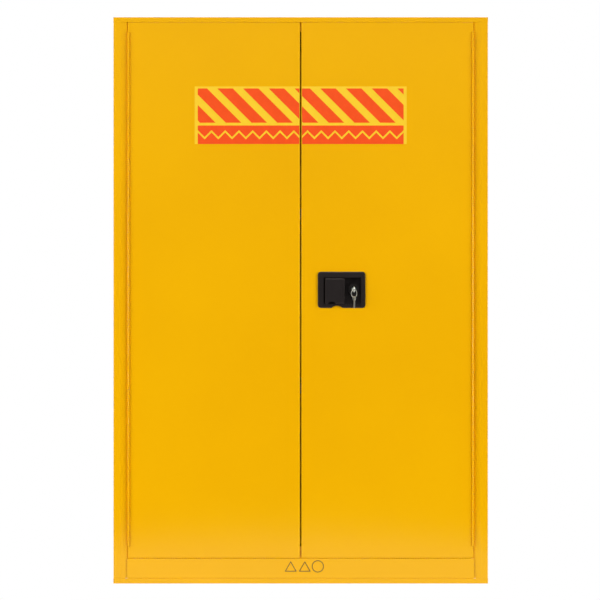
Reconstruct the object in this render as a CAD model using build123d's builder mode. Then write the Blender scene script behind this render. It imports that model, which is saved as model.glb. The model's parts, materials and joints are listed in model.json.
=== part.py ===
from build123d import *
import os

# Flammable storage cabinet, two manual doors, 45 US gallon size.
# Millimetres. Origin at the centre of the base; front faces -Y; +Z up.

os.makedirs("parts", exist_ok=True)

# ---- overall size
WIDTH = 1092.0
DEPTH = 457.0
HEIGHT = 1651.0
HALF_W = WIDTH / 2
FRONT = -DEPTH / 2
BACK = DEPTH / 2

# ---- sheet metal
SHEET = 1.2
BEND = 2.0
CORNER_BEND = 3.0
RAMP_BEND = 5.0
JAMB_BEND = 2.0

# ---- frame around the doors
JAMB_INNER_X = 505.0
JAMB_RAMP_START_X = 526.0
JAMB_RAMP_DROP = 3.0
RETURN_END_Y = -175.0
TOP_BAND_Z = 1636.4
RAIL_STEP_TOP_Z = 1637.0
OPENING_TOP_Z = 1609.0
OPENING_BOTTOM_Z = 107.0
RABBET_Y = FRONT + 6.0
SILL_STEP_Z = 72.8
SKIRT_TOP_Z = 15.0
BAND_GAP = 0.2
RAIL_BEND = 1.5
SUMP_FRONT_Y = -187.4

# ---- earthing stud
STUD_X = -440.0
STUD_Z = 45.0
STUD_R = 4.0
STUD_NUT = 6.0
STUD_OUT = 27.0

# ---- inner box
INNER_X = JAMB_INNER_X - SHEET
INNER_FRONT_Y = -190.0
INNER_BACK_Y = 187.8
CEILING_Z = OPENING_TOP_Z + SHEET
SUMP_FLOOR_Z = 55.0
SUMP_RIM_Z = OPENING_BOTTOM_Z - SHEET

# ---- doors
GAP_HALF = 2.0
DOOR_EDGE_X = 498.6
DOOR_TAB_X = 504.0
DOOR_BOTTOM_Z = 75.0
DOOR_TOP_Z = 1635.6
DOOR_FOLD = 4.0
BOX_BOTTOM_Z = 110.0
BOX_TOP_Z = 1606.0
DOOR_BACK_Y = FRONT + 40.0
FIELD_PRESS = 3.0

# ---- piano hinge
HINGE_X = 501.8
HINGE_Y = FRONT - 1.6
KNUCKLE_R = 3.2
PIN_R = 1.6
PIN_BORE_R = 1.65
KNUCKLE = 25.4
KNUCKLES = 59
HINGE_Z = 108.5
LEAF_BACK_Y = -192.0
LEAF_FRONT_Y = -226.6

# ---- lock and latch
LOCK_X = 155.2
LOCK_Z = 857.0
CAM_PIN_CIRCLE = 10.0
CAM_PIN_R = 2.0
CAM_OFFSET = 7.071
ROD_R = 4.0
ROD_OFFSET = 19.0
ROD_Y = FRONT + 28.75
BOLT_R = 3.2
BOLT_Y = FRONT + 32.25
SLOT_HALF = 2.4

# ---- handle
BEZEL_X = 119.2
BEZEL_Z = 856.0
BEZEL_W = 138.8
BEZEL_H = 106.1
BEZEL_PROUD = 5.0
CUP_X = (66.8, 175.6)
CUP_Z = (814.0, 892.0)
CUP_WALL = 1.8
CUP_FLOOR_Y = FRONT + 20.2
PADDLE_X = (71.2, 128.2)
PADDLE_Z = (816.0, 889.0)
PADDLE_FRONT_Y = FRONT - 9.5
PADDLE_WALL = 1.8
PADDLE_DEPTH = 8.0
PIVOT_X = 76.2
PIVOT_Y = -229.5
PIVOT_R = 2.0

# ---- shelves
SLOT_PITCH = 57.15
FIRST_SLOT_Z = 200.0
SLOTS = 23
STANDARD_Y = (-130.0, 130.0)
STANDARD_FACE_X = INNER_X - 4.0
SHELF_SLOTS = (6, 15)
SHELF_UNDER = 8.0
SHELF_HALF_W = 496.0
SHELF_Y = (-176.0, 182.0)
SHELF_RIM = 30.0

# ---- vents
VENT_Y = 20.0
VENT_LOW_Z = 190.0
VENT_HIGH_Z = 1500.0
TUBE_R = 28.0
TUBE_BORE_R = 25.0

# ---- levelling feet
FOOT_XY = ((-480.0, -165.0), (480.0, -165.0), (-480.0, 165.0), (480.0, 165.0))
FOOT_R = 20.0
STEM_R = 6.0


def block(x_range, y_range, z_range, mode=Mode.ADD):
    """A box between two values on each axis."""
    middle = [(r[0] + r[1]) / 2 for r in (x_range, y_range, z_range)]
    with Locations(tuple(middle)):
        Box(
            x_range[1] - x_range[0],
            y_range[1] - y_range[0],
            z_range[1] - z_range[0],
            mode=mode,
        )


def bar_x(y, z, radius, x_range, mode=Mode.ADD):
    """A round bar along X."""
    with Locations(Location(((x_range[0] + x_range[1]) / 2, y, z), (0, 90, 0))):
        Cylinder(radius, x_range[1] - x_range[0], mode=mode)


def bar_y(x, z, radius, y_range, mode=Mode.ADD):
    """A round bar along Y."""
    with Locations(Location((x, (y_range[0] + y_range[1]) / 2, z), (90, 0, 0))):
        Cylinder(radius, y_range[1] - y_range[0], mode=mode)


def bar_z(x, y, radius, z_range, mode=Mode.ADD):
    """A round bar along Z."""
    with Locations((x, y, (z_range[0] + z_range[1]) / 2)):
        Cylinder(radius, z_range[1] - z_range[0], mode=mode)


def bent_sheet(plane, points, length, radius=BEND, side=Side.RIGHT):
    """Sheet folded along the points, drawn on the plane and extruded by length."""
    with BuildSketch(plane) as profile:
        with BuildLine():
            FilletPolyline(*points, radius=radius)
            offset(amount=SHEET, side=side)
        make_face()
    extrude(profile.sketch, amount=length)


def save(builder, name):
    builder.part.label = name
    export_step(builder.part, "parts/" + name + ".step")


def mirrored(builder):
    """The same sub-part on the other side of the cabinet."""
    with BuildPart() as other:
        mirror(builder.part, about=Plane.YZ)
    return other


# =====================================================================
# Cabinet body: outer shell
# =====================================================================
# One side: wall, front jamb that slopes in towards the hinge, return flange.
with BuildPart() as outer_side_blank:
    bent_sheet(
        Plane.XY.offset(SKIRT_TOP_Z + BAND_GAP),
        [
            (HALF_W, BACK),
            (HALF_W, FRONT),
            (JAMB_RAMP_START_X, FRONT),
            (JAMB_INNER_X, FRONT + JAMB_RAMP_DROP),
            (JAMB_INNER_X, RETURN_END_Y),
        ],
        TOP_BAND_Z - SKIRT_TOP_Z - 2 * BAND_GAP,
        radius=(CORNER_BEND, RAMP_BEND, JAMB_BEND),
    )
    # the wall carries on inside the front flanges of the top panel and base pan
    wall_x = (HALF_W - SHEET, HALF_W)
    block(wall_x, (FRONT + SHEET, BACK), (0, SKIRT_TOP_Z + BAND_GAP))
    block(wall_x, (FRONT + SHEET, BACK), (TOP_BAND_Z - BAND_GAP, HEIGHT - 2 * SHEET))
    block(wall_x, (FRONT + 2 * SHEET, BACK), (HEIGHT - 2 * SHEET, HEIGHT - SHEET))

with BuildPart() as outer_side_right:
    add(outer_side_blank.part)
    bar_x(VENT_Y, VENT_HIGH_Z, TUBE_R + 0.05, (HALF_W - 5, HALF_W + 5), Mode.SUBTRACT)
save(outer_side_right, "outer_side_right")

with BuildPart() as outer_side_left:
    add(mirrored(outer_side_blank).part)
    bar_x(VENT_Y, VENT_LOW_Z, TUBE_R + 0.05, (-HALF_W - 5, -HALF_W + 5), Mode.SUBTRACT)
save(outer_side_left, "outer_side_left")

# Back panel with a forward flange down each side.
BACK_HALF = HALF_W - SHEET
with BuildPart() as outer_back:
    bent_sheet(
        Plane.XY,
        [(BACK_HALF, BACK - 20), (BACK_HALF, BACK), (-BACK_HALF, BACK), (-BACK_HALF, BACK - 20)],
        HEIGHT - SHEET,
        side=Side.LEFT,
    )
    # clearance hole for the earthing stud
    bar_y(STUD_X, STUD_Z, STUD_R + 0.2, (BACK - 5, BACK + 5), Mode.SUBTRACT)
save(outer_back, "outer_back")

# Top panel: flat sheet with a front flange folded down over the jambs.
with BuildPart() as outer_top:
    bent_sheet(
        Plane.YZ.offset(-HALF_W),
        [(BACK, HEIGHT), (FRONT, HEIGHT), (FRONT, TOP_BAND_Z)],
        WIDTH,
        side=Side.LEFT,
    )
save(outer_top, "outer_top")

# Base pan: plate with skirts and inward flanges that stand on the floor.
SKIRT_FLANGE = 24.0
with BuildPart() as base_pan:
    inner_x = HALF_W - SHEET
    block((-inner_x, inner_x), (RETURN_END_Y, BACK - SHEET), (SKIRT_TOP_Z - SHEET, SKIRT_TOP_Z))
    block(
        (-JAMB_INNER_X, JAMB_INNER_X),
        (FRONT, RETURN_END_Y),
        (SKIRT_TOP_Z - SHEET, SKIRT_TOP_Z),
    )
    # the front skirt runs the full width below both jambs
    block((-HALF_W, HALF_W), (FRONT, FRONT + SHEET), (0, SKIRT_TOP_Z))
    block((-inner_x, inner_x), (FRONT, FRONT + SKIRT_FLANGE), (0, SHEET))
    for sign in (-1, 1):
        skirt = sorted((sign * inner_x, sign * (inner_x - SHEET)))
        flange = sorted((sign * inner_x, sign * (inner_x - SKIRT_FLANGE)))
        block(skirt, (RETURN_END_Y, BACK - 20.5), (0, SKIRT_TOP_Z))
        block(flange, (RETURN_END_Y, BACK - 20.5), (0, SHEET))
    rear_x = inner_x - SHEET - 2.0
    block((-rear_x, rear_x), (BACK - 2 * SHEET, BACK - SHEET), (0, SKIRT_TOP_Z))
    block((-rear_x, rear_x), (BACK - SKIRT_FLANGE, BACK - SHEET), (0, SHEET))
    # the plate stops short of the back panel's side flanges
    for sign in (-1, 1):
        corner = sorted((sign * rear_x, sign * (inner_x + 1)))
        block(corner, (BACK - 20.5, BACK), (0, SKIRT_TOP_Z + 1), Mode.SUBTRACT)
    for x, y in FOOT_XY:
        bar_z(x, y, STEM_R + 0.3, (SKIRT_TOP_Z - 5, SKIRT_TOP_Z + 5), Mode.SUBTRACT)
save(base_pan, "base_pan")

# Top rail: soffit, rabbet face behind the door flanges, and a welding flange.
with BuildPart() as top_rail:
    bent_sheet(
        Plane.YZ.offset(-JAMB_INNER_X),
        [
            (-180, OPENING_TOP_Z),
            (RABBET_Y, OPENING_TOP_Z),
            (RABBET_Y, RAIL_STEP_TOP_Z),
            (FRONT + SHEET, RAIL_STEP_TOP_Z),
            (FRONT + SHEET, HEIGHT - SHEET - 3),
        ],
        2 * JAMB_INNER_X,
        radius=RAIL_BEND,
    )
    rod_hole_z = (OPENING_TOP_Z - 5, OPENING_TOP_Z + 5)
    bar_z(LOCK_X - ROD_OFFSET, ROD_Y, ROD_R + 1, rod_hole_z, Mode.SUBTRACT)
save(top_rail, "top_rail")

# Sill rail: bottom rail face, rabbet, sill top and a lip over the sump wall.
with BuildPart() as sill_rail:
    bent_sheet(
        Plane.YZ.offset(-JAMB_INNER_X),
        [
            (FRONT + 20, SKIRT_TOP_Z),
            (FRONT, SKIRT_TOP_Z),
            (FRONT, SILL_STEP_Z),
            (RABBET_Y, SILL_STEP_Z),
            (RABBET_Y, OPENING_BOTTOM_Z),
            (SUMP_FRONT_Y, OPENING_BOTTOM_Z),
            (SUMP_FRONT_Y, OPENING_BOTTOM_Z - 22),
        ],
        2 * JAMB_INNER_X,
        radius=RAIL_BEND,
    )
    rod_hole_z = (OPENING_BOTTOM_Z - 5, OPENING_BOTTOM_Z + 5)
    bar_z(LOCK_X + ROD_OFFSET, ROD_Y, ROD_R + 1, rod_hole_z, Mode.SUBTRACT)
    # the face laps a little over each jamb's bend
    for sign in (-1, 1):
        lap = sorted((sign * JAMB_INNER_X, sign * (JAMB_INNER_X + SHEET)))
        block(lap, (FRONT, FRONT + SHEET), (SKIRT_TOP_Z + RAIL_BEND, SILL_STEP_Z - RAIL_BEND))
    # the lip stops against the inner side walls
    for sign in (-1, 1):
        end = sorted((sign * INNER_X, sign * (JAMB_INNER_X + 1)))
        block(end, (INNER_FRONT_Y, SUMP_FRONT_Y + 1), (80, OPENING_BOTTOM_Z + 1), Mode.SUBTRACT)
save(sill_rail, "sill_rail")

# =====================================================================
# Cabinet body: inner box, spaced 38 mm off the outer shell
# =====================================================================
with BuildPart() as inner_side_blank:
    block((INNER_X, JAMB_INNER_X), (INNER_FRONT_Y, INNER_BACK_Y), (40, OPENING_TOP_Z))

with BuildPart() as inner_side_right:
    add(inner_side_blank.part)
    bar_x(VENT_Y, VENT_HIGH_Z, TUBE_R + 0.05, (INNER_X - 5, INNER_X + 5), Mode.SUBTRACT)
save(inner_side_right, "inner_side_right")

with BuildPart() as inner_side_left:
    add(mirrored(inner_side_blank).part)
    bar_x(VENT_Y, VENT_LOW_Z, TUBE_R + 0.05, (-INNER_X - 5, -INNER_X + 5), Mode.SUBTRACT)
save(inner_side_left, "inner_side_left")

with BuildPart() as inner_back:
    block((-JAMB_INNER_X, JAMB_INNER_X), (INNER_BACK_Y, INNER_BACK_Y + SHEET), (40, CEILING_Z))
save(inner_back, "inner_back")

# Ceiling with flanges folded down inside the side walls.
CEILING_FLANGE_END = 178.0
with BuildPart() as inner_top:
    bent_sheet(
        Plane.XZ.offset(-INNER_BACK_Y),
        [
            (-INNER_X, CEILING_Z - 22),
            (-INNER_X, CEILING_Z + SHEET),
            (INNER_X, CEILING_Z + SHEET),
            (INNER_X, CEILING_Z - 22),
        ],
        INNER_BACK_Y + CEILING_FLANGE_END,
        side=Side.RIGHT,
    )
    block(
        (-INNER_X + 4, INNER_X - 4),
        (INNER_FRONT_Y, -CEILING_FLANGE_END + 1),
        (CEILING_Z, CEILING_Z + SHEET),
    )
save(inner_top, "inner_top")

# Leak-proof sump tray in the bottom.
with BuildPart() as sump_pan:
    block((-INNER_X, INNER_X), (SUMP_FRONT_Y, INNER_BACK_Y), (SUMP_FLOOR_Z, SUMP_RIM_Z))
    tray = sump_pan.faces().sort_by(Axis.Z)[-1]
    offset(amount=-SHEET, openings=tray)
save(sump_pan, "sump_pan")

# Channels that hold the two skins apart.
CHANNEL = 25.0
with BuildPart() as wall_spacers:
    for sign in (-1, 1):
        for y in (-60, 90):
            web = sorted((sign * JAMB_INNER_X, sign * (HALF_W - SHEET)))
            near = sorted((sign * JAMB_INNER_X, sign * (JAMB_INNER_X + SHEET)))
            far = sorted((sign * (HALF_W - 2 * SHEET), sign * (HALF_W - SHEET)))
            block(web, (y, y + SHEET), (70, 1590))
            block(near, (y, y + CHANNEL), (70, 1590))
            block(far, (y, y + CHANNEL), (70, 1590))
    for x in (-300, 0, 300):
        gap = (INNER_BACK_Y + SHEET, BACK - SHEET)
        block((x, x + SHEET), gap, (70, 1590))
        block((x, x + CHANNEL), (gap[0], gap[0] + SHEET), (70, 1590))
        block((x, x + CHANNEL), (gap[1] - SHEET, gap[1]), (70, 1590))
    for x in (-220, 220):
        roof = (CEILING_Z + SHEET, HEIGHT - SHEET)
        block((x, x + SHEET), (-150, 170), roof)
        block((x, x + CHANNEL), (-150, 170), (roof[0], roof[0] + SHEET))
        block((x, x + CHANNEL), (-150, 170), (roof[1] - SHEET, roof[1]))
        floor = (SKIRT_TOP_Z, SUMP_FLOOR_Z)
        block((x, x + SHEET), (-150, 170), floor)
        block((x, x + CHANNEL), (-150, 170), (floor[0], floor[0] + SHEET))
        block((x, x + CHANNEL), (-150, 170), (floor[1] - SHEET, floor[1]))
save(wall_spacers, "wall_spacers")

# Four slotted shelf standards, one pair on each side wall.
with BuildPart() as shelf_standards:
    for sign in (-1, 1):
        for y in STANDARD_Y:
            whole = sorted((sign * STANDARD_FACE_X, sign * INNER_X))
            hollow = sorted((sign * (STANDARD_FACE_X + SHEET), sign * (INNER_X + 1)))
            block(whole, (y - 10, y + 10), (140, 1560))
            block(hollow, (y - 10 + SHEET, y + 10 - SHEET), (139, 1561), Mode.SUBTRACT)
            for k in range(SLOTS):
                z = FIRST_SLOT_Z + k * SLOT_PITCH
                cut = sorted((sign * (STANDARD_FACE_X - 1), sign * (STANDARD_FACE_X + 2)))
                block(cut, (y - 1.75, y + 1.75), (z - 7, z + 7), Mode.SUBTRACT)
save(shelf_standards, "shelf_standards")

# Eight clips hooked into the standards, four for each shelf.
with BuildPart() as shelf_clips:
    for k in SHELF_SLOTS:
        z = FIRST_SLOT_Z + k * SLOT_PITCH
        top = z + SHELF_UNDER
        for sign in (-1, 1):
            for y in STANDARD_Y:
                plate = sorted((sign * (STANDARD_FACE_X - 1.5), sign * STANDARD_FACE_X))
                ledge = sorted((sign * 484, sign * STANDARD_FACE_X))
                tab = sorted((sign * STANDARD_FACE_X, sign * (STANDARD_FACE_X + 2.8)))
                hook = sorted((sign * (STANDARD_FACE_X + 1.4), sign * (STANDARD_FACE_X + 2.8)))
                block(plate, (y - 8, y + 8), (top - 30, top))
                block(ledge, (y - 8, y + 8), (top - 1.5, top))
                block(tab, (y - 1.5, y + 1.5), (z - 5, z + 5))
                block(hook, (y - 1.5, y + 1.5), (z - 10, z + 5))
save(shelf_clips, "shelf_clips")

# Vent tubes through both skins, with a flange welded inside the outer wall.
with BuildPart() as vent_flanges:
    for sign, z in ((-1, VENT_LOW_Z), (1, VENT_HIGH_Z)):
        tube = sorted((sign * (INNER_X - 2), sign * HALF_W))
        ring = sorted((sign * (HALF_W - SHEET - 3), sign * (HALF_W - SHEET)))
        bore = sorted((sign * (INNER_X - 4), sign * (HALF_W + 2)))
        bar_x(VENT_Y, z, TUBE_R, tube)
        bar_x(VENT_Y, z, TUBE_R + 12, ring)
        bar_x(VENT_Y, z, TUBE_BORE_R, bore, Mode.SUBTRACT)
save(vent_flanges, "vent_flanges")

# Perforated flame arrester discs in the inner end of each vent tube.
with BuildPart() as flame_screens:
    for sign, z in ((-1, VENT_LOW_Z), (1, VENT_HIGH_Z)):
        disc = sorted((sign * (INNER_X + 2), sign * (INNER_X + 3.2)))
        bar_x(VENT_Y, z, TUBE_BORE_R - 0.03, disc)
        face = Plane((disc[0] - 1, VENT_Y, z), x_dir=(0, 1, 0), z_dir=(1, 0, 0))
        with BuildSketch(face):
            for count, radius in ((1, 0), (6, 6), (12, 12), (18, 18)):
                with PolarLocations(radius, count):
                    Circle(1.8)
        extrude(amount=4, mode=Mode.SUBTRACT)
save(flame_screens, "flame_screens")

# Earthing stud through the back panel, with a nut on each side.
# Its end stands as far behind the base as the hanging keys stand in front.
with BuildPart() as ground_stud:
    bar_y(STUD_X, STUD_Z, STUD_R, (BACK - 14, BACK + STUD_OUT))
    for nut in ((BACK - SHEET - STUD_NUT, BACK - SHEET), (BACK, BACK + STUD_NUT)):
        with BuildSketch(Plane((STUD_X, nut[1], STUD_Z), x_dir=(1, 0, 0), z_dir=(0, -1, 0))):
            RegularPolygon(6.5, 6, major_radius=False)
        extrude(amount=nut[1] - nut[0])
save(ground_stud, "ground_stud")

# Weld nuts for the levelling feet.
with BuildPart() as foot_nuts:
    for x, y in FOOT_XY:
        with BuildSketch(Plane.XY.offset(SKIRT_TOP_Z)):
            with Locations((x, y)):
                RegularPolygon(9.5, 6, major_radius=False)
                Circle(STEM_R + 0.05, mode=Mode.SUBTRACT)
        extrude(amount=10)
save(foot_nuts, "foot_nuts")

# Striker plates that the two vertical rods shoot into.
with BuildPart() as rod_strikes:
    top_x = LOCK_X - ROD_OFFSET
    low_x = LOCK_X + ROD_OFFSET
    top_z = (CEILING_Z, CEILING_Z + 3)
    low_z = (SUMP_RIM_Z - 3, SUMP_RIM_Z)
    block((top_x - 20, top_x + 20), (ROD_Y - 9, ROD_Y + 9), top_z)
    bar_z(top_x, ROD_Y, ROD_R + 0.6, (top_z[0] - 1, top_z[1] + 1), Mode.SUBTRACT)
    block((low_x - 20, low_x + 20), (ROD_Y - 9, ROD_Y + 9), low_z)
    bar_z(low_x, ROD_Y, ROD_R + 0.6, (low_z[0] - 1, low_z[1] + 1), Mode.SUBTRACT)
save(rod_strikes, "rod_strikes")

# Plain outline marks stuck on the bottom rail: two triangles and a ring.
MARK = 0.3
with BuildPart() as rail_marker:
    with BuildSketch(Plane.XZ.offset(-FRONT)):
        for x in (-29.0, 12.0):
            with Locations((x, 45.0)):
                RegularPolygon(20, 3, rotation=90)
                RegularPolygon(16, 3, rotation=90, mode=Mode.SUBTRACT)
        with Locations((50.0, 50.0)):
            Circle(17.5)
            Circle(15.5, mode=Mode.SUBTRACT)
    extrude(amount=MARK)
save(rail_marker, "rail_marker")


# =====================================================================
# Piano hinges
# =====================================================================
def hinge_leaf(plate_x, first):
    """One leaf: long plate, every second knuckle from first, pin bore."""
    end_z = HINGE_Z + KNUCKLES * KNUCKLE
    block(plate_x, (LEAF_FRONT_Y, LEAF_BACK_Y), (HINGE_Z, end_z))
    for k in range(first, KNUCKLES, 2):
        span = (HINGE_Z + k * KNUCKLE + 0.15, HINGE_Z + (k + 1) * KNUCKLE - 0.15)
        bar_z(HINGE_X, HINGE_Y, KNUCKLE_R, span)
        block(plate_x, (HINGE_Y, LEAF_FRONT_Y), span)
    bar_z(HINGE_X, HINGE_Y, PIN_BORE_R, (HINGE_Z - 1, end_z + 1), Mode.SUBTRACT)


with BuildPart() as frame_leaf_right:
    hinge_leaf((INNER_X, JAMB_INNER_X), 0)
save(frame_leaf_right, "frame_leaf_right")
frame_leaf_left = mirrored(frame_leaf_right)
save(frame_leaf_left, "frame_leaf_left")

with BuildPart() as door_leaf_right:
    hinge_leaf((DOOR_EDGE_X, DOOR_EDGE_X + SHEET), 1)
save(door_leaf_right, "door_leaf_right")
door_leaf_left = mirrored(door_leaf_right)
save(door_leaf_left, "door_leaf_left")

with BuildPart() as hinge_pins:
    for sign in (-1, 1):
        bar_z(sign * HINGE_X, HINGE_Y, PIN_R, (HINGE_Z, HINGE_Z + KNUCKLES * KNUCKLE))
save(hinge_pins, "hinge_pins")


# =====================================================================
# Doors
# =====================================================================
def door_outline(inset):
    """Front outline of the right door, wider above and below the hinge."""
    edge = DOOR_EDGE_X - inset
    tab = DOOR_TAB_X - inset
    near = GAP_HALF + inset
    low = HINGE_Z - 1 - inset
    high = HINGE_Z + KNUCKLES * KNUCKLE + 1 + inset
    with BuildLine() as outline:
        Polyline(
            (near, DOOR_BOTTOM_Z + inset),
            (tab, DOOR_BOTTOM_Z + inset),
            (tab, low),
            (edge, low),
            (edge, high),
            (tab, high),
            (tab, DOOR_TOP_Z - inset),
            (near, DOOR_TOP_Z - inset),
            close=True,
        )
    make_face(outline.edges())


def door_outer():
    """Front sheet with folded edges and the two side walls of the door box."""
    with BuildSketch(Plane.XZ.offset(-FRONT - DOOR_FOLD)) as whole:
        door_outline(0)
    extrude(whole.sketch, amount=DOOR_FOLD)
    with BuildSketch(Plane.XZ.offset(-FRONT - DOOR_FOLD)) as hollow:
        door_outline(SHEET)
    extrude(hollow.sketch, amount=DOOR_FOLD - SHEET, mode=Mode.SUBTRACT)
    walls = ((GAP_HALF, GAP_HALF + SHEET), (DOOR_EDGE_X - SHEET, DOOR_EDGE_X))
    for wall in walls:
        block(wall, (FRONT + SHEET, DOOR_BACK_Y - SHEET), (BOX_BOTTOM_Z, BOX_TOP_Z))


def door_inner():
    """Inner pan: back sheet with a pressed field, and four walls."""
    left = GAP_HALF
    right = DOOR_EDGE_X
    sheet_y = (DOOR_BACK_Y - SHEET, DOOR_BACK_Y)
    block((left, right), sheet_y, (BOX_BOTTOM_Z, BOX_TOP_Z))
    field_x = (left + 45, right - 45)
    field_z = (BOX_BOTTOM_Z + 45, BOX_TOP_Z - 45)
    pressed_y = (sheet_y[0] - FIELD_PRESS, sheet_y[1])
    block(field_x, pressed_y, field_z)
    block(
        (field_x[0] + SHEET, field_x[1] - SHEET),
        (pressed_y[0] + SHEET, pressed_y[1]),
        (field_z[0] + SHEET, field_z[1] - SHEET),
        Mode.SUBTRACT,
    )
    side_y = (DOOR_BACK_Y - 26, DOOR_BACK_Y - SHEET)
    block((left + SHEET, left + 2 * SHEET), side_y, (BOX_BOTTOM_Z, BOX_TOP_Z))
    block((right - 2 * SHEET, right - SHEET), side_y, (BOX_BOTTOM_Z, BOX_TOP_Z))
    end_y = (FRONT + SHEET, DOOR_BACK_Y)
    lip_y = (FRONT + SHEET, FRONT + 2 * SHEET)
    inside = (left + SHEET, right - SHEET)
    block(inside, end_y, (BOX_BOTTOM_Z, BOX_BOTTOM_Z + SHEET))
    block(inside, lip_y, (BOX_BOTTOM_Z - 12, BOX_BOTTOM_Z))
    block(inside, end_y, (BOX_TOP_Z - SHEET, BOX_TOP_Z))
    block(inside, lip_y, (BOX_TOP_Z, BOX_TOP_Z + 12))


with BuildPart() as door_outer_blank:
    door_outer()
    fillet(door_outer_blank.faces().sort_by(Axis.Y)[0].outer_wire().edges(), radius=0.9)

with BuildPart() as door_inner_blank:
    door_inner()

STIFFENER_X = (250.0, 380.0)
with BuildPart() as stiffeners_blank:
    for x in STIFFENER_X:
        gap = (FRONT + SHEET, DOOR_BACK_Y - SHEET - FIELD_PRESS)
        block((x, x + SHEET), gap, (180, 1540))
        block((x, x + CHANNEL), (gap[0], gap[0] + SHEET), (180, 1540))
        block((x, x + CHANNEL), (gap[1] - SHEET, gap[1]), (180, 1540))

BOLT_Z = LOCK_Z - ROD_OFFSET

# ---- left door
with BuildPart() as left_outer_skin:
    add(mirrored(door_outer_blank).part)
    bar_x(BOLT_Y, BOLT_Z, BOLT_R + 0.8, (-6, 0), Mode.SUBTRACT)
save(left_outer_skin, "left_outer_skin")

with BuildPart() as left_inner_skin:
    add(mirrored(door_inner_blank).part)
    bar_x(BOLT_Y, BOLT_Z, BOLT_R + 0.8, (-6, 0), Mode.SUBTRACT)
save(left_inner_skin, "left_inner_skin")

left_stiffeners = mirrored(stiffeners_blank)
save(left_stiffeners, "left_stiffeners")

# Plate inside the left door's edge that the centre bolt shoots into.
with BuildPart() as centre_strike:
    strike_x = (-GAP_HALF - 2 * SHEET - 3, -GAP_HALF - 2 * SHEET)
    block(strike_x, (BOLT_Y - 9, BOLT_Y + 6.4), (BOLT_Z - 18, BOLT_Z + 18))
    bar_x(BOLT_Y, BOLT_Z, BOLT_R + 0.5, (strike_x[0] - 1, strike_x[1] + 1), Mode.SUBTRACT)
save(centre_strike, "centre_strike")

# ---- right door
SCREWS = ((57.5, 812.0), (57.5, 900.0), (182.3, 812.0), (182.3, 900.0))
with BuildPart() as right_outer_skin:
    add(door_outer_blank.part)
    block(
        (CUP_X[0] - CUP_WALL - 0.2, CUP_X[1] + CUP_WALL + 0.2),
        (FRONT - 1, FRONT + SHEET + 1),
        (CUP_Z[0] - CUP_WALL - 0.2, CUP_Z[1] + CUP_WALL + 0.2),
        Mode.SUBTRACT,
    )
    for x, z in SCREWS:
        bar_y(x, z, 2.2, (FRONT - 1, FRONT + SHEET + 1), Mode.SUBTRACT)
    bar_x(BOLT_Y, BOLT_Z, BOLT_R + 0.8, (0, 6), Mode.SUBTRACT)
save(right_outer_skin, "right_outer_skin")

with BuildPart() as right_inner_skin:
    add(door_inner_blank.part)
    bar_x(BOLT_Y, BOLT_Z, BOLT_R + 0.8, (0, 6), Mode.SUBTRACT)
    top_hole_z = (BOX_TOP_Z - 3, BOX_TOP_Z + 1)
    low_hole_z = (BOX_BOTTOM_Z - 1, BOX_BOTTOM_Z + 3)
    bar_z(LOCK_X - ROD_OFFSET, ROD_Y, ROD_R + 0.5, top_hole_z, Mode.SUBTRACT)
    bar_z(LOCK_X + ROD_OFFSET, ROD_Y, ROD_R + 0.5, low_hole_z, Mode.SUBTRACT)
save(right_inner_skin, "right_inner_skin")

with BuildPart() as right_stiffeners:
    add(stiffeners_blank.part)
save(right_stiffeners, "right_stiffeners")

# Sticker across both doors, cut at the gap.
LABEL_Z = (1281.0, 1449.0)
with BuildPart() as label_right:
    block((4.0, 309.0), (FRONT - MARK, FRONT), LABEL_Z)
save(label_right, "label_right")
label_left = mirrored(label_right)
save(label_left, "label_left")

# =====================================================================
# Handle
# =====================================================================
NOTCH_X = 105.8
NOTCH_R = 22.5
BOSS_R = 16.0
with BuildPart() as handle_bezel:
    with BuildSketch(Plane.XZ.offset(-FRONT)):
        with Locations((BEZEL_X, BEZEL_Z)):
            RectangleRounded(BEZEL_W, BEZEL_H, 9.7)
    extrude(amount=BEZEL_PROUD)
    fillet(handle_bezel.faces().sort_by(Axis.Y)[0].outer_wire().edges(), radius=3.0)
    outer_x = (CUP_X[0] - CUP_WALL, CUP_X[1] + CUP_WALL)
    outer_z = (CUP_Z[0] - CUP_WALL, CUP_Z[1] + CUP_WALL)
    block(outer_x, (FRONT, CUP_FLOOR_Y + CUP_WALL), outer_z)
    block(CUP_X, (FRONT - BEZEL_PROUD - 1, CUP_FLOOR_Y), CUP_Z, Mode.SUBTRACT)
    # raised boss around the lock
    bar_y(LOCK_X, LOCK_Z, BOSS_R, (FRONT + 2.5, CUP_FLOOR_Y))
    bar_y(LOCK_X, LOCK_Z, 10.55, (FRONT, CUP_FLOOR_Y + 5), Mode.SUBTRACT)
    # arched notch in the lower edge
    bar_y(
        NOTCH_X,
        BEZEL_Z - BEZEL_H / 2 + 6.7 - NOTCH_R,
        NOTCH_R,
        (FRONT - BEZEL_PROUD - 1, FRONT),
        Mode.SUBTRACT,
    )
    # holes for the pivot pin and the fixing screws
    bar_z(PIVOT_X, PIVOT_Y, PIVOT_R + 0.03, (CUP_Z[0] - 2, CUP_Z[1] + 2), Mode.SUBTRACT)
    for x, z in SCREWS:
        bar_y(x, z, 2.05, (FRONT - 3.8, FRONT), Mode.SUBTRACT)
save(handle_bezel, "handle_bezel")

with BuildPart() as handle_screws:
    for x, z in SCREWS:
        bar_y(x, z, 2.0, (FRONT - 3.6, FRONT + SHEET))
        bar_y(x, z, 4.0, (FRONT + SHEET, FRONT + SHEET + 2.4))
        with BuildSketch(Plane.XZ.offset(-FRONT - SHEET - 2.4)):
            with Locations((x, z)):
                Rectangle(5, 1)
                Rectangle(1, 5)
        extrude(amount=1.2, mode=Mode.SUBTRACT)
save(handle_screws, "handle_screws")

with BuildPart() as paddle_pin:
    bar_z(PIVOT_X, PIVOT_Y, PIVOT_R, (CUP_Z[0] - 1.9, CUP_Z[1] + 1.9))
save(paddle_pin, "paddle_pin")

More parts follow.
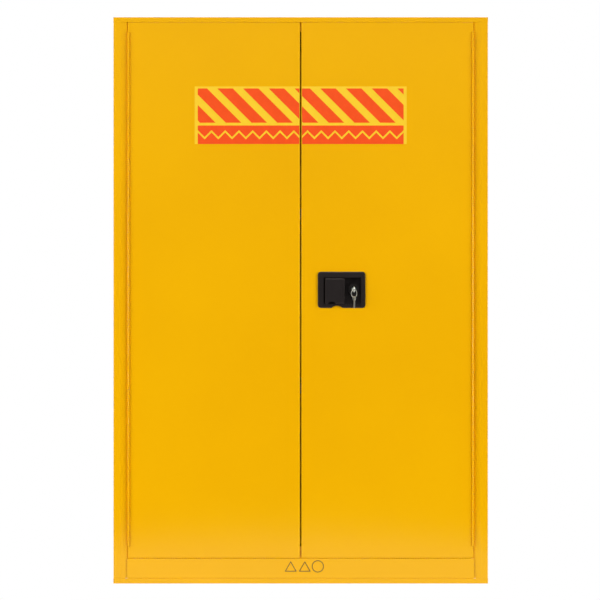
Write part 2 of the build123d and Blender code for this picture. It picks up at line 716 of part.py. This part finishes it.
# Return spring coiled round the pin, between the paddle's two bosses.
SPRING_Z = (838.0, 866.0)
with BuildPart() as paddle_spring:
    with BuildLine():
        coil = Helix(
            pitch=2.0,
            height=SPRING_Z[1] - SPRING_Z[0],
            radius=2.6,
            center=(PIVOT_X, PIVOT_Y, SPRING_Z[0]),
        )
    with BuildSketch(Plane(coil @ 0, z_dir=coil % 0)):
        Circle(0.4)
    sweep()
save(paddle_spring, "paddle_spring")

# Pull paddle: shallow shell hinged on the pin near its left edge.
ARCH_R = 13.5
ARCH_DROP = 8.0
with BuildPart() as paddle:
    block(PADDLE_X, (PADDLE_FRONT_Y, PADDLE_FRONT_Y + PADDLE_DEPTH), PADDLE_Z)
    fillet(paddle.edges().filter_by(Axis.Y), radius=4.0)
    fillet(paddle.faces().sort_by(Axis.Y)[0].outer_wire().edges(), radius=2.0)
    block(
        (PADDLE_X[0] + PADDLE_WALL, PADDLE_X[1] - PADDLE_WALL),
        (PADDLE_FRONT_Y + PADDLE_WALL, PADDLE_FRONT_Y + PADDLE_DEPTH + 1),
        (PADDLE_Z[0] + PADDLE_WALL, PADDLE_Z[1] - PADDLE_WALL),
        Mode.SUBTRACT,
    )
    # finger arch in the lower edge
    arch_y = (PADDLE_FRONT_Y - 1, PADDLE_FRONT_Y + 20)
    bar_y(BEZEL_X - 28.5, PADDLE_Z[0] - ARCH_DROP, ARCH_R, arch_y, Mode.SUBTRACT)
    for boss in ((PADDLE_Z[0], PADDLE_Z[0] + 8), (PADDLE_Z[1] - 8, PADDLE_Z[1])):
        bar_z(PIVOT_X, PIVOT_Y, 4.2, boss)
        block((PIVOT_X - 4.2, PIVOT_X + 4.2), (PADDLE_FRONT_Y + 1, PIVOT_Y), boss)
    bar_z(PIVOT_X, PIVOT_Y, PIVOT_R + 0.05, (PADDLE_Z[0] - 1, PADDLE_Z[1] + 1), Mode.SUBTRACT)
save(paddle, "paddle")

# =====================================================================
# Lock, cam and three-point rods
# =====================================================================
NUT_Y = (CUP_FLOOR_Y + CUP_WALL, CUP_FLOOR_Y + CUP_WALL + 1.6)
PLUG_FACE_Y = FRONT + 0.8
PLUG_FACE_R = 6.0
PLUG_R = 8.0
CAM_Y = (FRONT + 24.0, FRONT + 27.0)
SQUARE = 4.0
SQUARE_FIT = 0.05
KEY_HALF = 1.1
KEY_FIT = 0.15
with BuildPart() as lock_housing:
    bar_y(LOCK_X, LOCK_Z, 10.5, (FRONT + 1.3, NUT_Y[1]))
    bar_y(LOCK_X, LOCK_Z, 12.5, (FRONT + 0.5, FRONT + 2.5))
    bar_y(LOCK_X, LOCK_Z, PLUG_R + 0.05, (FRONT + 1.7, NUT_Y[1] + 1), Mode.SUBTRACT)
    # a thin lip keeps the plug in and leaves its face showing
    bar_y(LOCK_X, LOCK_Z, PLUG_FACE_R + 0.1, (FRONT, FRONT + 2), Mode.SUBTRACT)
save(lock_housing, "lock_housing")

with BuildPart() as lock_nut:
    with BuildSketch(Plane((LOCK_X, NUT_Y[0], LOCK_Z), x_dir=(1, 0, 0), z_dir=(0, 1, 0))):
        RegularPolygon(12.5, 6, major_radius=False)
        Circle(10.55, mode=Mode.SUBTRACT)
    extrude(amount=NUT_Y[1] - NUT_Y[0])
save(lock_nut, "lock_nut")

with BuildPart() as lock_plug:
    bar_y(LOCK_X, LOCK_Z, PLUG_R, (FRONT + 1.75, NUT_Y[1] + 0.2))
    bar_y(LOCK_X, LOCK_Z, PLUG_FACE_R, (PLUG_FACE_Y, FRONT + 1.75))
    # square drive behind the nut
    drive_y = (NUT_Y[1], CAM_Y[1])
    block((LOCK_X - SQUARE, LOCK_X + SQUARE), drive_y, (LOCK_Z - SQUARE, LOCK_Z + SQUARE))
    keyway_x = (LOCK_X - KEY_HALF - KEY_FIT, LOCK_X + KEY_HALF + KEY_FIT)
    keyway_y = (PLUG_FACE_Y - 1, FRONT + 20)
    block(keyway_x, keyway_y, (LOCK_Z - 4.2, LOCK_Z + 4.2), Mode.SUBTRACT)
save(lock_plug, "lock_plug")

with BuildPart() as lock_cam:
    bar_y(LOCK_X, LOCK_Z, 14.0, CAM_Y)
    block(
        (LOCK_X - SQUARE - SQUARE_FIT, LOCK_X + SQUARE + SQUARE_FIT),
        (CAM_Y[0] - 1, CAM_Y[1] + 1),
        (LOCK_Z - SQUARE - SQUARE_FIT, LOCK_Z + SQUARE + SQUARE_FIT),
        Mode.SUBTRACT,
    )
    # one pin for each rod, and a longer one for the centre bolt behind them
    for across, up, length in ((-1, -1, 3.3), (1, 1, 3.3), (1, -1, 7.0)):
        pin_y = (CAM_Y[1], CAM_Y[1] + length)
        bar_y(LOCK_X + across * CAM_OFFSET, LOCK_Z + up * CAM_OFFSET, CAM_PIN_R, pin_y)
save(lock_cam, "lock_cam")

PLATE_Y = (ROD_Y - 1.25, ROD_Y + 1.25)
SLOT_FAR = CAM_PIN_CIRCLE + SLOT_HALF
SLOT_NEAR = CAM_OFFSET - SLOT_HALF
HEAD = 5.0
with BuildPart() as top_rod:
    head_z = (LOCK_Z - CAM_OFFSET - HEAD, LOCK_Z - CAM_OFFSET + HEAD)
    slot_z = (LOCK_Z - CAM_OFFSET - SLOT_HALF, LOCK_Z - CAM_OFFSET + SLOT_HALF)
    block((LOCK_X - ROD_OFFSET - ROD_R, LOCK_X - 1.8), PLATE_Y, head_z)
    bar_z(LOCK_X - ROD_OFFSET, ROD_Y, ROD_R, (head_z[0], BOX_TOP_Z - 0.5))
    slot_x = (LOCK_X - SLOT_FAR, LOCK_X - SLOT_NEAR)
    block(slot_x, (PLATE_Y[0] - 1, PLATE_Y[1] + 1), slot_z, Mode.SUBTRACT)
save(top_rod, "top_rod")

with BuildPart() as bottom_rod:
    head_z = (LOCK_Z + CAM_OFFSET - HEAD, LOCK_Z + CAM_OFFSET + HEAD)
    slot_z = (LOCK_Z + CAM_OFFSET - SLOT_HALF, LOCK_Z + CAM_OFFSET + SLOT_HALF)
    block((LOCK_X + 1.8, LOCK_X + ROD_OFFSET + ROD_R), PLATE_Y, head_z)
    bar_z(LOCK_X + ROD_OFFSET, ROD_Y, ROD_R, (BOX_BOTTOM_Z + 0.5, head_z[1]))
    slot_x = (LOCK_X + SLOT_NEAR, LOCK_X + SLOT_FAR)
    block(slot_x, (PLATE_Y[0] - 1, PLATE_Y[1] + 1), slot_z, Mode.SUBTRACT)
save(bottom_rod, "bottom_rod")

BOLT_PLATE_Y = (BOLT_Y - 1.25, BOLT_Y + 1.25)
with BuildPart() as centre_bolt:
    head_x = (LOCK_X + CAM_OFFSET - HEAD, LOCK_X + CAM_OFFSET + HEAD)
    slot_x = (LOCK_X + CAM_OFFSET - SLOT_HALF, LOCK_X + CAM_OFFSET + SLOT_HALF)
    block(head_x, BOLT_PLATE_Y, (BOLT_Z - BOLT_R, LOCK_Z - 1.8))
    bar_x(BOLT_Y, BOLT_Z, BOLT_R, (GAP_HALF + 0.3, head_x[1]))
    slot_z = (LOCK_Z - SLOT_FAR, LOCK_Z - SLOT_NEAR)
    block(slot_x, (BOLT_PLATE_Y[0] - 1, BOLT_PLATE_Y[1] + 1), slot_z, Mode.SUBTRACT)
save(centre_bolt, "centre_bolt")

# Guides welded inside the right door's front sheet.
GUIDE_CLEAR = 0.08
GUIDE_XZ = (
    (LOCK_X - ROD_OFFSET, 1450),
    (LOCK_X - ROD_OFFSET, 1000),
    (LOCK_X + ROD_OFFSET, 650),
    (LOCK_X + ROD_OFFSET, 250),
)
with BuildPart() as rod_guides:
    for x, z in GUIDE_XZ:
        block((x - 9, x + 9), (FRONT + SHEET, ROD_Y + 6), (z - 8, z + 8))
        inside_y = (FRONT + 2 * SHEET, ROD_Y - 6)
        block((x - 7.5, x + 7.5), inside_y, (z - 9, z + 9), Mode.SUBTRACT)
        bar_z(x, ROD_Y, ROD_R + GUIDE_CLEAR, (z - 9, z + 9), Mode.SUBTRACT)
    block((22, 38), (FRONT + SHEET, BOLT_Y + 3.5), (BOLT_Z - 9, BOLT_Z + 9))
    inside_y = (FRONT + 2 * SHEET, BOLT_Y - 5)
    block((21, 39), inside_y, (BOLT_Z - 7.5, BOLT_Z + 7.5), Mode.SUBTRACT)
    bar_x(BOLT_Y, BOLT_Z, BOLT_R + GUIDE_CLEAR, (21, 39), Mode.SUBTRACT)
save(rod_guides, "rod_guides")

# =====================================================================
# Keys
# =====================================================================
KEY_HOLE_Y = -246.5
RING_R = 11.5
RING_WIRE = 0.9
with BuildPart() as key:
    key_x = (LOCK_X - KEY_HALF, LOCK_X + KEY_HALF)
    block(key_x, (FRONT - 2, FRONT + 18), (LOCK_Z - 3.8, LOCK_Z + 3.8))
    # bitting along the lower edge of the blade
    for k in range(4):
        y = FRONT + 5 + 3.2 * k
        cut_z = (LOCK_Z - 4, LOCK_Z - 2.6 + 0.3 * (k % 2))
        block((key_x[0] - 1, key_x[1] + 1), (y, y + 1.6), cut_z, Mode.SUBTRACT)
    bar_x(KEY_HOLE_Y + 5, LOCK_Z, 9.0, key_x)
    block(key_x, (-234, FRONT - 1), (LOCK_Z - 5, LOCK_Z + 5))
    bar_x(KEY_HOLE_Y, LOCK_Z, 2.5, (key_x[0] - 1, key_x[1] + 1), Mode.SUBTRACT)
save(key, "key")

# Split ring through the key's bow, turned half side-on.
with BuildPart() as key_ring:
    with Locations(Location((LOCK_X, KEY_HOLE_Y, LOCK_Z - RING_R), (90, 45, 0))):
        Torus(RING_R, RING_WIRE)
save(key_ring, "key_ring")

# Spare key hanging from the ring, turned partly towards the front.
SPARE_Z = LOCK_Z - 2 * RING_R
SPARE_TURN = 30
SPARE_HALF = 1.0
with BuildPart() as spare_key:
    with Locations(Location((LOCK_X, KEY_HOLE_Y, SPARE_Z), (0, 0, SPARE_TURN))):
        bar_x(0, -3.2, 7.0, (-SPARE_HALF, SPARE_HALF))
        block((-SPARE_HALF, SPARE_HALF), (-3, 3), (-31, -9))
        for k in range(4):
            z = -28 + 3.2 * k
            notch_x = (-SPARE_HALF - 1, SPARE_HALF + 1)
            block(notch_x, (2, 4), (z, z + 1.6), Mode.SUBTRACT)
        bar_x(0, 0, 2.5, (-SPARE_HALF - 1, SPARE_HALF + 1), Mode.SUBTRACT)
save(spare_key, "spare_key")


# =====================================================================
# Loose and adjustable pieces
# =====================================================================
def vent_plug_shape(sign, z):
    """Threaded plug that closes a vent tube, with a square key recess."""
    body = sorted((sign * (HALF_W - 16), sign * (HALF_W - 0.5)))
    pocket = sorted((sign * (HALF_W - 9), sign * (HALF_W + 1)))
    bar_x(VENT_Y, z, TUBE_BORE_R - 0.06, body)
    block(pocket, (VENT_Y - 9, VENT_Y + 9), (z - 9, z + 9), Mode.SUBTRACT)


with BuildPart() as vent_plug_left:
    vent_plug_shape(-1, VENT_LOW_Z)
save(vent_plug_left, "vent_plug_left")

with BuildPart() as vent_plug_right:
    vent_plug_shape(1, VENT_HIGH_Z)
save(vent_plug_right, "vent_plug_right")


def shelf_shape(slot):
    """Galvanised spill tray shelf: rim, sunk floor, inward feet."""
    under = FIRST_SLOT_Z + slot * SLOT_PITCH + SHELF_UNDER
    x = SHELF_HALF_W
    block((-x, x), SHELF_Y, (under, under + SHELF_RIM))
    inside_x = (-x + SHEET, x - SHEET)
    inside_y = (SHELF_Y[0] + SHEET, SHELF_Y[1] - SHEET)
    block(inside_x, inside_y, (under + 15.2, under + SHELF_RIM + 1), Mode.SUBTRACT)
    block(inside_x, inside_y, (under + SHEET, under + 14), Mode.SUBTRACT)
    block(
        (-x + 18, x - 18),
        (SHELF_Y[0] + 18, SHELF_Y[1] - 18),
        (under - 1, under + SHEET + 1),
        Mode.SUBTRACT,
    )


with BuildPart() as shelf_lower:
    shelf_shape(SHELF_SLOTS[0])
save(shelf_lower, "shelf_lower")

with BuildPart() as shelf_upper:
    shelf_shape(SHELF_SLOTS[1])
save(shelf_upper, "shelf_upper")

FOOT_NAMES = ("foot_front_left", "foot_front_right", "foot_rear_left", "foot_rear_right")
for foot_name, (x, y) in zip(FOOT_NAMES, FOOT_XY):
    with BuildPart() as foot:
        bar_z(x, y, FOOT_R, (0, 6))
        fillet(foot.edges().filter_by(GeomType.CIRCLE).sort_by(Axis.Z)[-1], radius=2)
        bar_z(x, y, STEM_R, (6, 48))
    save(foot, foot_name)
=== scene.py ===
import json
import math

import bpy
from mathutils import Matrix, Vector


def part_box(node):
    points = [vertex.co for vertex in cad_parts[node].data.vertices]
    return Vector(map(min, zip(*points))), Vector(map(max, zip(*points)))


# Flammable storage cabinet: materials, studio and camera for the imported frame.
# Metres. The front faces -Y, +Z is up, and the floor is at z = 0.

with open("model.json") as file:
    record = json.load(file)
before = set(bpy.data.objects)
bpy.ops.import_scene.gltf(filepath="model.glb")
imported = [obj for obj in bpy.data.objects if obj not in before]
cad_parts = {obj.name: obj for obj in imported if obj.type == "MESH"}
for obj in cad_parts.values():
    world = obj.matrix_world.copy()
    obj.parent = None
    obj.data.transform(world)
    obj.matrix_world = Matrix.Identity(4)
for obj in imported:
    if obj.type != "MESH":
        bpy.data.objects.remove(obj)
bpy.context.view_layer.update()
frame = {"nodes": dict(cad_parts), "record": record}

# ---------------------------------------------------------------- places read from the frame
FRONT_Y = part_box("right_outer_skin")[0].y
CABINET_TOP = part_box("outer_top")[1].z
LABEL_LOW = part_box("label_right")[0].z
LABEL_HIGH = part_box("label_right")[1].z
LABEL_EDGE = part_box("label_right")[1].x

# ---------------------------------------------------------------- sticker layout
BAND_HEIGHT = 0.054
BAND_GAP = 0.008
TOP_BORDER = 0.006
SIDE_BORDER = 0.009
STRIPE_PERIOD = 0.075
STRIPE_SHARE = 0.6
ZIGZAG_LOW = 0.017
ZIGZAG_HEIGHT = 0.020
ZIGZAG_HALF_WIDTH = 0.0035

# ---------------------------------------------------------------- colours, linear: (light, deep)
YELLOW = ((0.93, 0.468, 0.0, 1), (0.90, 0.445, 0.0, 1))
BLACK = ((0.0110, 0.0085, 0.0080, 1), (0.0085, 0.0066, 0.0062, 1))
CAP_BLACK = ((0.035, 0.034, 0.033, 1), (0.025, 0.024, 0.024, 1))
BLACK_NICKEL = ((0.055, 0.055, 0.053, 1), (0.035, 0.035, 0.034, 1))
NICKEL = ((0.88, 0.91, 0.84, 1), (0.70, 0.72, 0.65, 1))
ZINC = ((0.66, 0.66, 0.63, 1), (0.50, 0.50, 0.47, 1))
BRASS = ((0.70, 0.50, 0.20, 1), (0.52, 0.35, 0.12, 1))
SPANGLE = ((0.70, 0.72, 0.73, 1), (0.56, 0.58, 0.59, 1))
MARK_BROWN = ((0.055, 0.014, 0.004, 1), (0.040, 0.009, 0.003, 1))
LABEL_YELLOW = ((0.99, 0.64, 0.024, 1), (0.97, 0.61, 0.021, 1))
LABEL_ORANGE = ((0.97, 0.085, 0.006, 1), (0.93, 0.078, 0.006, 1))
MAROON_TINT = (1.0, 0.87, 0.87, 1)
WHITE = (1, 1, 1, 1)

# the sockets of a colour Mix node share their names, so they go by number
MIX_COLOUR_A = 6
MIX_COLOUR_B = 7
MIX_COLOUR_OUT = 2


# ---------------------------------------------------------------- node helpers
def material(name):
    """A new material, its nodes, its links and its surface shader."""
    m = bpy.data.materials.new(name)
    m.use_nodes = True
    return m, m.node_tree.nodes, m.node_tree.links, m.node_tree.nodes["Principled BSDF"]


def object_coords(ns):
    return ns.new("ShaderNodeTexCoord").outputs["Object"]


def noise(ns, ln, scale, detail=2.0, rough=0.5, stretch=None):
    """A noise texture in frame metres, stretched along an axis if asked."""
    n = ns.new("ShaderNodeTexNoise")
    n.inputs["Scale"].default_value = scale
    n.inputs["Detail"].default_value = detail
    n.inputs["Roughness"].default_value = rough
    source = object_coords(ns)
    if stretch:
        mapping = ns.new("ShaderNodeMapping")
        mapping.inputs["Scale"].default_value = stretch
        ln.new(source, mapping.inputs["Vector"])
        source = mapping.outputs["Vector"]
    ln.new(source, n.inputs["Vector"])
    return n.outputs["Fac"]


def shade(ns, ln, source, pair, low=0.3, high=0.7):
    """Blends a colour pair, from deep where the source is low to light where it is high."""
    light, deep = pair
    r = ns.new("ShaderNodeValToRGB")
    for stop, position, colour in zip(r.color_ramp.elements, (low, high), (deep, light)):
        stop.position = position
        stop.color = colour
    ln.new(source, r.inputs["Fac"])
    return r.outputs["Color"]


def map_range(ns, ln, source, from_range, to_range):
    r = ns.new("ShaderNodeMapRange")
    r.inputs["From Min"].default_value, r.inputs["From Max"].default_value = from_range
    r.inputs["To Min"].default_value, r.inputs["To Max"].default_value = to_range
    ln.new(source, r.inputs["Value"])
    return r.outputs["Result"]


def vary_roughness(ns, ln, p, source, low, high):
    """Spreads a noise's usual values over a range of roughness."""
    ln.new(map_range(ns, ln, source, (0.3, 0.7), (low, high)), p.inputs["Roughness"])


def add_bump(ns, ln, p, source, strength, distance):
    b = ns.new("ShaderNodeBump")
    b.inputs["Strength"].default_value = strength
    b.inputs["Distance"].default_value = distance
    ln.new(source, b.inputs["Height"])
    ln.new(b.outputs["Normal"], p.inputs["Normal"])


def calc(ns, ln, operation, a, b=None):
    """A math node on sockets or plain numbers."""
    n = ns.new("ShaderNodeMath")
    n.operation = operation
    for value, socket in ((a, n.inputs[0]), (b, n.inputs[1])):
        if value is None:
            continue
        if isinstance(value, (int, float)):
            socket.default_value = value
        else:
            ln.new(value, socket)
    return n.outputs["Value"]


# ---------------------------------------------------------------- materials
def powder_coat(name, pair, roughness):
    """Baked paint: slow colour drift and a fine orange peel."""
    m, ns, ln, p = material(name)
    drift = noise(ns, ln, scale=2.2, detail=3.0)
    ln.new(shade(ns, ln, drift, pair, low=0.35, high=0.65), p.inputs["Base Color"])
    peel = noise(ns, ln, scale=420.0)
    vary_roughness(ns, ln, p, peel, roughness - 0.03, roughness + 0.04)
    add_bump(ns, ln, p, peel, strength=0.24, distance=0.0004)
    p.inputs["Specular IOR Level"].default_value = 0.30
    return m


def metal(name, pair, roughness, scale, stretch=None, bump=0.08):
    """Plated or bare metal with one grain for colour, roughness and relief."""
    m, ns, ln, p = material(name)
    grain = noise(ns, ln, scale, detail=4.0, rough=0.6, stretch=stretch)
    ln.new(shade(ns, ln, grain, pair), p.inputs["Base Color"])
    vary_roughness(ns, ln, p, grain, roughness - 0.06, roughness + 0.08)
    add_bump(ns, ln, p, grain, strength=bump, distance=0.0003)
    p.inputs["Metallic"].default_value = 1.0
    return m


def galvanised(name, pair):
    """Dipped sheet with crystal flakes just under a centimetre across."""
    m, ns, ln, p = material(name)
    cells = ns.new("ShaderNodeTexVoronoi")
    cells.inputs["Scale"].default_value = 110.0
    ln.new(object_coords(ns), cells.inputs["Vector"])
    grey = ns.new("ShaderNodeRGBToBW")
    ln.new(cells.outputs["Color"], grey.inputs["Color"])
    flake = grey.outputs["Val"]
    ln.new(shade(ns, ln, flake, pair, low=0.2, high=0.8), p.inputs["Base Color"])
    vary_roughness(ns, ln, p, flake, 0.32, 0.5)
    grain = noise(ns, ln, scale=300.0, detail=3.0)
    add_bump(ns, ln, p, grain, strength=0.06, distance=0.0003)
    p.inputs["Metallic"].default_value = 0.55
    return m


def plastic(name, pair, roughness):
    """Moulded plastic: faint clouds of colour under a fine grain."""
    m, ns, ln, p = material(name)
    grain = noise(ns, ln, scale=1500.0)
    cloud = noise(ns, ln, scale=25.0)
    ln.new(shade(ns, ln, cloud, pair), p.inputs["Base Color"])
    vary_roughness(ns, ln, p, grain, roughness - 0.05, roughness + 0.05)
    add_bump(ns, ln, p, grain, strength=0.25, distance=0.0002)
    p.inputs["Specular IOR Level"].default_value = 0.50
    p.inputs["Specular Tint"].default_value = MAROON_TINT
    return m


def stripes_mask(ns, ln, x, z):
    """1 on the diagonal stripes of the sticker's upper row."""
    above = calc(ns, ln, "GREATER_THAN", z, LABEL_LOW + BAND_HEIGHT + BAND_GAP)
    below = calc(ns, ln, "LESS_THAN", z, LABEL_HIGH - TOP_BORDER)
    in_row = calc(ns, ln, "MULTIPLY", above, below)
    turns = calc(ns, ln, "MULTIPLY", calc(ns, ln, "ADD", x, z), 1 / STRIPE_PERIOD)
    stripe = calc(ns, ln, "LESS_THAN", calc(ns, ln, "FRACT", turns), STRIPE_SHARE)
    return calc(ns, ln, "MULTIPLY", in_row, stripe)


def band_mask(ns, ln, x, z):
    """1 on the sticker's lower band, except along its thin zigzag."""
    in_band = calc(ns, ln, "LESS_THAN", z, LABEL_LOW + BAND_HEIGHT)
    wave = calc(ns, ln, "PINGPONG", x, ZIGZAG_HEIGHT)
    centre = calc(ns, ln, "ADD", wave, LABEL_LOW + ZIGZAG_LOW)
    away = calc(ns, ln, "ABSOLUTE", calc(ns, ln, "SUBTRACT", z, centre))
    off_zigzag = calc(ns, ln, "GREATER_THAN", away, ZIGZAG_HALF_WIDTH)
    return calc(ns, ln, "MULTIPLY", in_band, off_zigzag)


def label_film(name):
    """Plain yellow sticker: orange diagonal stripes above an orange band."""
    m, ns, ln, p = material(name)
    split = ns.new("ShaderNodeSeparateXYZ")
    ln.new(object_coords(ns), split.inputs["Vector"])
    x, z = split.outputs["X"], split.outputs["Z"]
    off_centre = calc(ns, ln, "ABSOLUTE", x)
    inside = calc(ns, ln, "LESS_THAN", off_centre, LABEL_EDGE - SIDE_BORDER)
    print_area = calc(ns, ln, "MAXIMUM", stripes_mask(ns, ln, x, z), band_mask(ns, ln, x, z))
    ink = noise(ns, ln, scale=60.0, detail=3.0)
    mix = ns.new("ShaderNodeMix")
    mix.data_type = "RGBA"
    ln.new(calc(ns, ln, "MULTIPLY", print_area, inside), mix.inputs["Factor"])
    ln.new(shade(ns, ln, ink, LABEL_YELLOW), mix.inputs[MIX_COLOUR_A])
    ln.new(shade(ns, ln, ink, LABEL_ORANGE), mix.inputs[MIX_COLOUR_B])
    ln.new(mix.outputs[MIX_COLOUR_OUT], p.inputs["Base Color"])
    vary_roughness(ns, ln, p, ink, 0.34, 0.44)
    p.inputs["Specular IOR Level"].default_value = 0.35
    return m


SLOT_MATERIAL = {
    "yellow_paint": powder_coat("yellow_powder_coat", YELLOW, roughness=0.18),
    "zinc_steel": metal("zinc_plate", ZINC, roughness=0.34, scale=90.0),
    "nickel": metal("nickel_plate", NICKEL, roughness=0.36, scale=260.0, stretch=(1, 1, 6), bump=0.05),
    "brass_hardware": metal("bare_brass", BRASS, roughness=0.33, scale=120.0),
    "galvanised": galvanised("galvanised_sheet", SPANGLE),
    "black_plastic": plastic("black_moulding", BLACK, roughness=0.36),
    "black_metal": metal("black_nickel", BLACK_NICKEL, roughness=0.36, scale=150.0),
    "black_cap": plastic("cap_moulding", CAP_BLACK, roughness=0.55),
    "label_film": label_film("warning_film"),
    "mark_film": plastic("mark_film", MARK_BROWN, roughness=0.45),
}
for part in frame["record"]["subparts"]:
    slot = part["material_slot"]
    piece = frame["nodes"][part["node"]]
    piece.data.materials.clear()
    piece.data.materials.append(SLOT_MATERIAL[slot])


# ---------------------------------------------------------------- floor and room
FLOOR_SIZE = 30
FLOOR_DROP = 0.0005
FLOOR_BRIGHT = 1.55
FLOOR_SPILL = 0.06
FADE_RADII = (1.0, 1.4)
ROOM_DARK = 0.06
CEILING_PALE = 0.40
CEILING_RISE = (0.08, 0.20)


def floor_material():
    """White to the camera. The paint mirrors it bright near the cabinet and dark
    beyond, and only a small share of its light reaches the doors."""
    m, ns, ln = material("floor")[:3]
    ns.clear()
    path = ns.new("ShaderNodeLightPath")
    length = ns.new("ShaderNodeVectorMath")
    length.operation = "LENGTH"
    ln.new(object_coords(ns), length.inputs[0])
    fade = map_range(ns, ln, length.outputs["Value"], FADE_RADII, (FLOOR_BRIGHT, ROOM_DARK))
    spill = map_range(ns, ln, path.outputs["Is Diffuse Ray"], (0.0, 1.0), (1.0, FLOOR_SPILL))
    mirrored = ns.new("ShaderNodeEmission")
    ln.new(calc(ns, ln, "MULTIPLY", fade, spill), mirrored.inputs["Strength"])
    seen = ns.new("ShaderNodeEmission")
    mix = ns.new("ShaderNodeMixShader")
    ln.new(path.outputs["Is Camera Ray"], mix.inputs["Fac"])
    ln.new(mirrored.outputs["Emission"], mix.inputs[1])
    ln.new(seen.outputs["Emission"], mix.inputs[2])
    out = ns.new("ShaderNodeOutputMaterial")
    ln.new(mix.outputs["Shader"], out.inputs["Surface"])
    return m


def studio_world():
    """White to the camera, and otherwise a dark room under a pale ceiling."""
    world = bpy.data.worlds.new("studio")
    world.use_nodes = True
    ns, ln = world.node_tree.nodes, world.node_tree.links
    direction = ns.new("ShaderNodeTexCoord").outputs["Generated"]
    split = ns.new("ShaderNodeSeparateXYZ")
    ln.new(direction, split.inputs["Vector"])
    ceiling = map_range(ns, ln, split.outputs["Z"], CEILING_RISE, (ROOM_DARK, CEILING_PALE))
    path = ns.new("ShaderNodeLightPath")
    mix = ns.new("ShaderNodeMix")
    ln.new(path.outputs["Is Camera Ray"], mix.inputs["Factor"])
    ln.new(ceiling, mix.inputs["A"])
    mix.inputs["B"].default_value = 1.0
    ln.new(mix.outputs["Result"], ns["Background"].inputs["Strength"])
    ns["Background"].inputs["Color"].default_value = WHITE
    return world


bpy.ops.mesh.primitive_plane_add(size=FLOOR_SIZE, location=(0, 0, -FLOOR_DROP))
floor = bpy.context.object
floor.name = "floor"
floor.data.materials.append(floor_material())
bpy.context.scene.world = studio_world()


# ---------------------------------------------------------------- lights
def softbox(name, azimuth, elevation, distance, size, power):
    """An area light aimed at the cabinet's middle. Azimuth 0 is in front, in degrees."""
    data = bpy.data.lights.new(name, "AREA")
    data.shape = "RECTANGLE"
    data.size, data.size_y = size
    data.energy = power
    lamp = bpy.data.objects.new(name, data)
    bpy.context.scene.collection.objects.link(lamp)
    a, e = math.radians(azimuth), math.radians(elevation)
    outward = Vector((math.sin(a) * math.cos(e), -math.cos(a) * math.cos(e), math.sin(e)))
    lamp.location = Vector((0, 0, CABINET_TOP / 2)) + outward * distance
    lamp.rotation_euler = (-outward).to_track_quat("-Z", "Y").to_euler()
    return lamp


# The key lights stay below the top panel, so it never mirrors them.
# The same panels at a lower strength make the highlights.
KEY_PLACE = {"elevation": 0, "distance": 8.0, "size": (5.6, 1.6)}
for side, azimuth in (("left", -57), ("right", 57)):
    softbox("key_" + side, azimuth, power=482, **KEY_PLACE).visible_glossy = False
    softbox("sheen_" + side, azimuth, power=240, **KEY_PLACE).visible_diffuse = False

TOP_PLACE = {"distance": 5.0, "size": (3.0, 2.0)}
softbox("top_soft", 0, elevation=62, power=18, **TOP_PLACE).visible_glossy = False
softbox("sheen_top", 0, elevation=52, power=130, **TOP_PLACE).visible_diffuse = False

# Seen from in front, the back lights would only glare off the top panel.
BACK_PLACE = {"elevation": 25, "distance": 5.0, "size": (2.6, 3.0)}
for name, azimuth in (("back_left", -140), ("back_right", 140)):
    softbox(name, azimuth, power=110, **BACK_PLACE).visible_glossy = False

# ---------------------------------------------------------------- camera
LENS_MM = 100
SENSOR_MM = 36
FRAME_WIDTH = 1.749
EYE_X = -0.002
EYE_Z = 0.8264

camera_data = bpy.data.cameras.new("camera")
camera_data.lens = LENS_MM
camera_data.sensor_width = SENSOR_MM
camera = bpy.data.objects.new("camera", camera_data)
bpy.context.scene.collection.objects.link(camera)
# far enough back for FRAME_WIDTH of the doors' front to fill the picture's width
camera.location = (EYE_X, FRONT_Y - FRAME_WIDTH * LENS_MM / SENSOR_MM, EYE_Z)
camera.rotation_euler = (math.radians(90), 0, 0)
bpy.context.scene.camera = camera
bpy.context.scene.view_settings.view_transform = "Standard"
